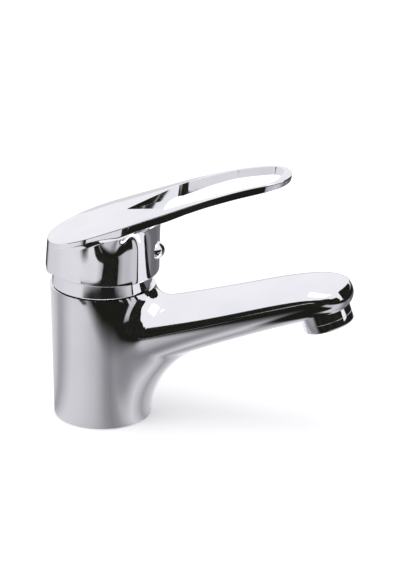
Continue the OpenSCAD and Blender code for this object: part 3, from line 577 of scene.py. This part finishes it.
def handlePlan():
    # the crease seen from above, once round from the rear
    h = handle
    half = [(creaseR * math.cos(a), creaseR * math.sin(a))
            for a in (math.pi - i * math.pi / 2 / h["rearN"] for i in range(h["rearN"]))]
    flankPoints = flankCurve(h)
    half += [bezier(flankPoints, i / h["flankN"]) for i in range(h["flankN"])]
    for i in range(h["tipN"] + 1):
        a = math.radians(h["tipSide"] * (1 - i / h["tipN"]))
        half.append((tipMidX + h["tipR"] * math.cos(a), h["tipR"] * math.sin(a)))
    return half + [(x, -y) for x, y in half[-2:0:-1]]


def handleColumn(p):
    # (radius, height) points in one direction, from the ceiling's middle round the rim and up to the top's middle
    h = handle
    r = math.hypot(*p)
    dirX = p[0] / r
    hang = r - creaseR  # how far the lever stands out past the cap here
    lip = ease((hang - h["lipFrom"]) / h["lipOver"])
    creaseZ, rim = topZ(creaseR * dirX), rimHeight(capR * dirX)
    lowR = capR + h["sideOut"] + h["frontOut"] * dirX
    highR = creaseR + (lowR + h["frontLean"] - creaseR) * ease(dirX) * min(1, hang / h["leanOver"])

    def wallR(z):
        return lowR + (highR - lowR) * min(1, max(0, (z - rim) / (creaseZ - rim)))

    # ceiling, inner wall and rim
    topInner = innerR(ceilingZ(creaseR * dirX))
    column = [(topInner * s, ceilingZ(topInner * s * dirX)) for s in (0, 0.25, 0.5, 0.75, 0.93, 1)]
    heights = np.linspace(ceilingZ(topInner * dirX), rim + h["rimEdge"], h["innerN"])
    column += [(innerR(z), z) for z in heights[1:]]
    column.append((innerR(rim) + h["rimEdge"], rim))
    rr = h["rimRound"]
    column += [(lowR - rr + rr * math.sin(a), rim + rr - rr * math.cos(a)) for a in np.radians([0, 25, 50, 75])]

    # outer wall, then the sweep out to the lever's underside
    start = underZ(creaseR * dirX) - h["fillet"]
    column += [(wallR(z), z) for z in np.linspace(rim + rr, start, h["wallN"])[:-1]]
    step = h["underStep"] * min(1, max(0, 1 - hang / h["rootOver"]))
    reach = min(h["fillet"], hang * (1 - h["lipIn"] * lip))
    bow = 0.5 + 0.5 * ease((hang - h["bowFrom"]) / h["bowOver"])
    top = underZ((creaseR + reach) * dirX) + step
    for t in np.linspace(0, 1, h["sweepN"]):
        z = start * (1 - t) ** 2 + (start + (top - start) * bow) * 2 * (1 - t) * t + top * t ** 2
        column.append((wallR(z) + reach * t * t, z))

    # underside out to the lower edge, which leans in, and round it
    er = h["edgeRound"] * min(1, hang / h["rootOver"])
    under = leverT(p[0]) * math.tan(math.radians(h["undercut"])) * lip
    sweepR = column[-1][0]
    for t in np.linspace(0, 1, h["underN"])[1:]:
        out = reach + (hang - er - reach) * t
        z = underZ((creaseR + out) * dirX) + step * (1 + h["stepGrow"] * t)
        edgeR = (wallR(z) if hang < 0.01 else r) - er - under
        column.append((sweepR + (edgeR - sweepR) * t, z))
    lowX, lowZ = column[-1]
    column += [(lowX + er * math.sin(a), lowZ + er - er * math.cos(a)) for a in np.radians([30, 60, 90])]

    # side, crease and top
    high, cr = topZ(p[0]), h["creaseRound"]
    sideR, sideZ = column[-1]
    column += [(sideR + (r - sideR) * t, sideZ + (high - cr - sideZ) * t) for t in (0.1, 0.4, 0.7, 0.94, 1)]
    column += [(r - cr + cr * math.cos(a), high - cr + cr * math.sin(a)) for a in np.radians([18, 36, 54, 72])]
    for share in [1 - 0.9 * (i / h["topN"]) for i in range(h["topN"] + 1)] + [0.06, 0.03, 0]:
        radius = (r - cr) * share
        column.append((radius, topZ(radius * dirX) + h["crown"] * (1 - (radius / r) ** 2)))
    return column


def handleRows():
    # each direction's column turned into its place, then read level by level
    columns = []
    for p in handlePlan():
        dirX, dirY = p[0] / math.hypot(*p), p[1] / math.hypot(*p)
        columns.append([(dirX * radius, dirY * radius, z) for radius, z in handleColumn(p)])
    return list(zip(*columns))


def loopCutter():
    # the outline drawn up from the loop's sloping floor
    start = loop["start"]
    circles = [(start + loop["noseR"], 0, loop["noseR"])]
    for side in (-1, 1):
        circles += [(start + along, side * off, radius) for along, off, radius in (loop["wide"], loop["waist"])]
        circles.append((loop["end"] - loop["tipR"], side * loop["tipOff"], loop["tipR"]))
    bm = bmesh.new()
    for x, y, radius in circles:
        bmesh.ops.create_circle(bm, segments=96, radius=radius * mm, matrix=Matrix.Translation((x * mm, y * mm, 0)))
    bmesh.ops.convex_hull(bm, input=bm.verts[:])
    outline = [v.co.copy() for v in bm.verts if v.link_faces]
    bm.free()
    outline.sort(key=lambda co: math.atan2(co.y, co.x - loop["middleX"] * mm))
    bm = bmesh.new()
    face = bm.faces.new([bm.verts.new(co) for co in outline])
    drawn = bmesh.ops.extrude_face_region(bm, geom=[face])
    top = [v for v in drawn["geom"] if isinstance(v, bmesh.types.BMVert)]
    bmesh.ops.translate(bm, vec=(0, 0, loop["drawUp"] * mm), verts=top)
    bmesh.ops.recalc_face_normals(bm, faces=bm.faces[:])
    slope = Matrix.Rotation(math.radians(loop["floorSlope"]), 4, "Y")
    place = (Matrix.Translation((start * mm, 0, loopFloorZ * mm)) @ slope
             @ Matrix.Translation((-start * mm, 0, 0)))
    bmesh.ops.transform(bm, matrix=place, verts=bm.verts[:])
    return bm


lever = makeObject("leverHandle", loft(handleRows()), chromePlate)
print("handle skinned", len(lever.data.polygons))
cutWith(lever, loopCutter())
smoothShade(lever.data, handle["sharp"])
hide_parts("handle")
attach(lever, "lever")
lever.visible_glossy = False  # the light on the spout's top stays even
print("handle cut", len(lever.data.polygons))


# index button: a plain domed plug over the grub screw
button = {
    "d": 9.2, "dome": 3.7, "rim": 0.8, "edge": 0.1, "shankR": 3.4, "shankL": 2.6, "z": 91.7, "seatX": 28.5,
    "steps": 96, "sharp": 35,
}


def buttonProfile(b):
    r = b["d"] / 2
    domeR = (r ** 2 + b["dome"] ** 2) / (2 * b["dome"])
    domeMid = b["rim"] + b["dome"] - domeR
    arc = np.linspace(math.asin(r / domeR), 0, 20)[1:]
    return ([(0, -b["shankL"]), (b["shankR"], -b["shankL"]), (b["shankR"], 0), (r - b["edge"], 0), (r, b["edge"]),
             (r, b["rim"])] + [(domeR * math.sin(a), domeMid + domeR * math.cos(a)) for a in arc])


buttonFrame = Matrix.Translation((button["seatX"] * mm, 0, button["z"] * mm)) @ Matrix.Rotation(math.pi / 2, 4, "Y")
indexButton = makeObject("indexButton", turned(buttonProfile(button), steps=button["steps"], frameOf=buttonFrame),
                         chromePlate, button["sharp"])
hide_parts("index_button")
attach(indexButton, "lever")
indexButton.visible_glossy = False


# aerator housing: a threaded sleeve with a round lower edge and a lip that holds the insert
sleeve = {"wall": 1.4, "play": 0.05, "lip": 0.9, "lipT": 1.2, "topEdge": 0.25, "steps": 144, "sharp": 30}


def sleeveProfile(a):
    outR, threadR, edge, show = outlet["d"] / 2, outlet["threadD"] / 2, outlet["edge"], outlet["show"]
    insertR, top = threadR - a["wall"], show + outlet["threadL"]
    boreR, lipR = insertR + a["play"], insertR - a["lip"]
    arc = [math.radians(angle) for angle in range(-90, 1, 10)]
    lower = [(outR - edge + edge * math.cos(angle), edge + edge * math.sin(angle)) for angle in arc]
    return ([(lipR, 0)] + lower + [(outR, show - a["topEdge"]), (outR - a["topEdge"], show), (threadR, show),
            (threadR, top), (boreR, top), (boreR, a["lipT"]), (lipR, a["lipT"])])


aeratorMesh = turned(sleeveProfile(sleeve), steps=sleeve["steps"], closed=True, frameOf=outletFrame)
aerator = makeObject("aeratorHousing", aeratorMesh, chromePlate, sleeve["sharp"])
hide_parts("aerator_housing")
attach(aerator, "body")
print("outlet made")


# where the camera stands: degrees round from -Y, degrees up, metres away
view = {"turn": 17, "lift": 23, "away": 4.0, "aim": (0.0517, 0, 0.07645), "lens": 505.8, "farClip": 50}

# The floor as the chrome sees it is a painted reflection, laid out in polar terms about the body: degrees from the
# camera's side, to the right.
# It glows with painted light and shade near by, then a painted dark stretch, lighter tones again, and a painted
# horizon past "end" metres.
paper = {
    "colour": "#f4f4f4", "roughness": 0.9, "glow": 0.22, "halfSize": 3, "drop": 0.0002,
    "near": [
        (-180, "#fafafe"), (-165, "#fafafe"), (-150, "#e8e8ec"), (-140, "#d8d8dc"), (-130, "#d0d0d4"),
        (-115, "#bdbdc1"), (-105, "#a5a5a9"), (-95, "#a7a7ab"), (-85, "#bbbbbf"), (-75, "#ccccd0"),
        (-65, "#d5d5d9"), (-45, "#d3d3d7"), (-35, "#ceced2"), (-25, "#c6c6ca"), (-15, "#bdbdc1"),
        (-5, "#acacb0"), (5, "#929296"), (15, "#858589"), (25, "#949498"), (35, "#b5b5b9"),
        (45, "#d0d0d4"), (55, "#bdbdc1"), (65, "#9e9ea2"), (75, "#b5b5b9"), (85, "#c3c3c7"),
        (95, "#d0d0d4"), (105, "#e4e4e8"), (115, "#eeeef2"), (125, "#f0f0f4"), (135, "#f6f6fa"),
        (180, "#fafafe"),
    ],
    "paintedDark": "#1c1c18",
    "far": [
        (-180, "#d4d4d8"), (-168, "#cdcdd1"), (-163, "#3c3c3c"), (-149, "#3c3c3c"), (-143, "#a5a5a9"),
        (-136, "#d0d0d4"), (-120, "#d5d5d9"), (-100, "#d8d8dc"), (-85, "#e0e0e4"), (-50, "#e2e2e6"),
        (-25, "#dedee2"), (-12, "#dedee2"), (-5, "#bebec2"), (1, "#3c3c3c"), (5, "#1e1e1e"),
        (26, "#202020"), (30, "#96969a"), (38, "#bebec2"), (50, "#bebec2"), (60, "#ccccd0"),
        (72, "#c8c8cc"), (84, "#96969a"), (94, "#6e6e72"), (104, "#8c8c90"), (112, "#6c6c70"),
        (132, "#68686c"), (142, "#7a7a7e"), (152, "#6e6e72"), (165, "#bebec2"), (180, "#d4d4d8"),
    ],
    "paintedHorizon": [
        (-180, "#d8d8dc"), (-140, "#e4e4e8"), (-60, "#e2e2e6"), (-46, "#d8d8dc"), (-38, "#1e1e1e"),
        (138, "#1e1e1e"), (148, "#8a8a8e"), (160, "#c8c8cc"), (180, "#d8d8dc"),
    ],
    # where the painted dark stretch starts and ends and how soft its edges are, in millimetres
    "darkFrom": [
        (-180, 500), (-54, 178), (-46, 178), (-30, 170), (-20, 155), (-10, 140), (0, 130), (10, 125), (20, 120),
        (30, 115), (50, 90), (65, 92), (80, 105), (92, 130), (100, 500), (180, 500),
    ],
    "darkTo": [
        (-180, 200), (-46, 200), (-30, 200), (-12, 205), (-4, 240), (2, 400), (26, 400), (28, 202), (59, 202),
        (61, 122), (80, 125), (100, 118), (180, 118),
    ],
    "soft": [(-180, 8), (-46, 8), (-25, 24), (25, 26), (40, 10), (90, 10), (120, 22), (180, 22)],
    "end": 0.32, "endSoft": 0.02,
}
paperReach = 500


def polar(tree, turn, stops):
    # a ramp round the body, from (degrees, colour or millimetres) stops
    def tone(value):
        return srgb(value) if isinstance(value, str) else [value / paperReach] * 3 + [1.0]
    return ramp(tree, turn, [(0.5 + degrees / 360, tone(value)) for degrees, value in stops])


def pastRadius(tree, distance, edge, soft):
    # 0 inside a radius, 1 outside it, with a soft step; radius and softness come as shares of paperReach
    gap = addNode(tree, "ShaderNodeMath", {1: -paperReach * mm}, {0: edge, 2: distance}, operation="MULTIPLY_ADD")
    share = addNode(tree, "ShaderNodeMath", links={0: gap.outputs["Value"], 1: soft}, operation="DIVIDE")
    step = addNode(tree, "ShaderNodeMapRange", {"From Min": -paperReach * mm, "From Max": paperReach * mm},
                   {"Value": share.outputs["Value"]}, interpolation_type="SMOOTHSTEP")
    return step.outputs["Result"]


def blendTone(tree, share, first, second):
    # first where share is 0, second where it is 1; second is a colour or another node's output
    node = addNode(tree, "ShaderNodeMix", links={0: share, 6: first}, data_type="RGBA")
    if isinstance(second, list):
        node.inputs[7].default_value = second
    else:
        tree.links.new(second, node.inputs[7])
    return node.outputs[2]


def makePaperAndPaintedReflection(name, look):
    # matt white paper that takes the shadow; glossy rays see instead a painted reflection, a glowing picture of light
    # and dark tones
    material, tree, shader, place = newMaterial(name)
    shader.inputs["Base Color"].default_value = srgb(look["colour"])
    shader.inputs["Roughness"].default_value = look["roughness"]
    shader.inputs["Emission Color"].default_value = (1, 1, 1, 1)
    shader.inputs["Emission Strength"].default_value = look["glow"]
    facing = addNode(tree, "ShaderNodeMapping", {"Rotation": (0, 0, math.radians(90 - view["turn"]))},
                     {"Vector": place})
    turn = addNode(tree, "ShaderNodeTexGradient", links={"Vector": facing.outputs["Vector"]},
                   gradient_type="RADIAL").outputs["Fac"]
    distance = addNode(tree, "ShaderNodeVectorMath", links={0: place}, operation="LENGTH").outputs["Value"]
    near, far, paintedHorizon, soft, darkFrom, darkTo = [
        polar(tree, turn, look[key]) for key in ("near", "far", "paintedHorizon", "soft", "darkFrom", "darkTo")]
    tone = blendTone(tree, pastRadius(tree, distance, darkFrom, soft), near, srgb(look["paintedDark"]))
    tone = blendTone(tree, pastRadius(tree, distance, darkTo, soft), tone, far)
    end = addNode(tree, "ShaderNodeMapRange", {"From Min": look["end"], "From Max": look["end"] + look["endSoft"]},
                  {"Value": distance})
    tone = blendTone(tree, end.outputs["Result"], tone, paintedHorizon)
    # painted reflection: an emission of the painted tones that only glossy rays see
    paintedReflection = addNode(tree, "ShaderNodeEmission", {"Strength": 1.0}, {"Color": tone})
    path = addNode(tree, "ShaderNodeLightPath")
    surface = addNode(tree, "ShaderNodeMixShader", links={
        0: path.outputs["Is Glossy Ray"], 1: shader.outputs["BSDF"], 2: paintedReflection.outputs["Emission"]})
    tree.links.new(surface.outputs["Shader"], tree.nodes["Material Output"].inputs["Surface"])
    return material


def addStage(name, bm, material):
    piece = makeObject(name, bm, material)
    return piece


bm = bmesh.new()
bmesh.ops.create_grid(bm, x_segments=1, y_segments=1, size=paper["halfSize"])
bmesh.ops.translate(bm, vec=(0, 0, -paper["drop"]), verts=bm.verts[:])
addStage("floorPaper", bm, makePaperAndPaintedReflection("paperAndPaintedReflection", paper))


# black velvet stretched on frames: it swallows the light, its pile a little uneven
velvetCloth = {"colour": "#24241f", "shade": "#191916", "pileScale": 12.0}


def makeVelvet(name, look):
    material, tree, shader, place = newMaterial(name)
    shader.inputs["Roughness"].default_value = 1.0
    shader.inputs["Specular IOR Level"].default_value = 0.0
    pile = addNode(tree, "ShaderNodeTexNoise", {"Scale": look["pileScale"]}, {"Vector": place}).outputs["Fac"]
    setTones(tree, shader, pile, 0.3, look["shade"], 0.7, look["colour"])
    return material


velvet = makeVelvet("blackVelvet", velvetCloth)
# curved dark screens: distance from the body's axis in millimetres, then degrees from the camera's side with the
# lower and upper edge there in millimetres
screens = {
    "screenLow": (198, [(-48, 0, 20), (-40, 0, 28), (0, 0, 28), (26, 0, 28), (28, 0, 2)]),
    "screenRight": (2000, [(88, 100, 1200), (100, 0, 2100), (126, 0, 2300), (140, 100, 1500)]),
    "screenFront": (420, [
        (-80, 0, 150), (-60, 0, 175), (-44, 0, 190), (-36, 0, 150), (-30, 0, 185), (-24, 0, 165), (-10, 0, 205),
        (8, 0, 190), (25, 0, 215), (45, 0, 180), (66, 0, 200), (74, 0, 120),
    ]),
}


def addScreen(name, distance, outline):
    # a strip swept round the body, its edges drawn to the outline; only reflections show it
    start, end = outline[0][0], outline[-1][0]
    bm = bmesh.new()
    side = [bm.verts.new((distance * mm, 0, 0)), bm.verts.new((distance * mm, 0, mm))]
    bmesh.ops.spin(bm, geom=side + [bm.edges.new(side)], cent=(0, 0, 0), axis=(0, 0, 1), dvec=(0, 0, 0),
                   angle=math.radians(end - start), steps=120, use_merge=False, use_duplicate=False)
    angles, lows, highs = zip(*outline)
    for vert in bm.verts:
        angle = math.degrees(math.atan2(vert.co.y, vert.co.x)) % 360 + start
        vert.co.z = np.interp(angle, angles, highs if vert.co.z > 0 else lows) * mm
    facing = Matrix.Rotation(math.radians(start + view["turn"] - 90), 3, "Z")
    bmesh.ops.rotate(bm, cent=(0, 0, 0), matrix=facing, verts=bm.verts[:])
    screen = addStage(name, bm, velvet)
    screen.visible_camera = False
    screen.visible_shadow = False
    screen.visible_diffuse = False


for screenName, (distance, outline) in screens.items():
    addScreen(screenName, distance, outline)

sky = {"colour": "#f3f3f7", "strength": 1.0}
world = bpy.data.worlds.new("studioWorld")
scene.world = world
world.use_nodes = True
background = world.node_tree.nodes["Background"]
background.inputs["Color"].default_value = srgb(sky["colour"])
background.inputs["Strength"].default_value = sky["strength"]

# a soft lamp above and before the tap: places and sizes in metres, power in watts
softbox = {"place": (0.0, -0.3, 1.4), "aim": (0.05, 0, 0.08), "size": (1.2, 0.9), "power": 6}
lampData = bpy.data.lights.new("topSoftbox", "AREA")
lampData.shape = "RECTANGLE"
lampData.size, lampData.size_y = softbox["size"]
lampData.energy = softbox["power"]
lamp = bpy.data.objects.new("topSoftbox", lampData)
scene.collection.objects.link(lamp)
shine = Vector(softbox["aim"]) - Vector(softbox["place"])
lamp.matrix_world = Matrix.Translation(softbox["place"]) @ shine.to_track_quat("-Z", "Y").to_matrix().to_4x4()
print("stage made")


turnA, lift = math.radians(view["turn"]), math.radians(view["lift"])
back = Vector((math.sin(turnA) * math.cos(lift), -math.cos(turnA) * math.cos(lift), math.sin(lift)))
cameraData = bpy.data.cameras.new("camera")
cameraData.lens = view["lens"]
cameraData.clip_end = view["farClip"]
camera = bpy.data.objects.new("camera", cameraData)
scene.collection.objects.link(camera)
camera.location = Vector(view["aim"]) + back * view["away"]
camera.rotation_euler = back.to_track_quat("Z", "Y").to_euler()
scene.camera = camera

scene.view_settings.view_transform = "Standard"
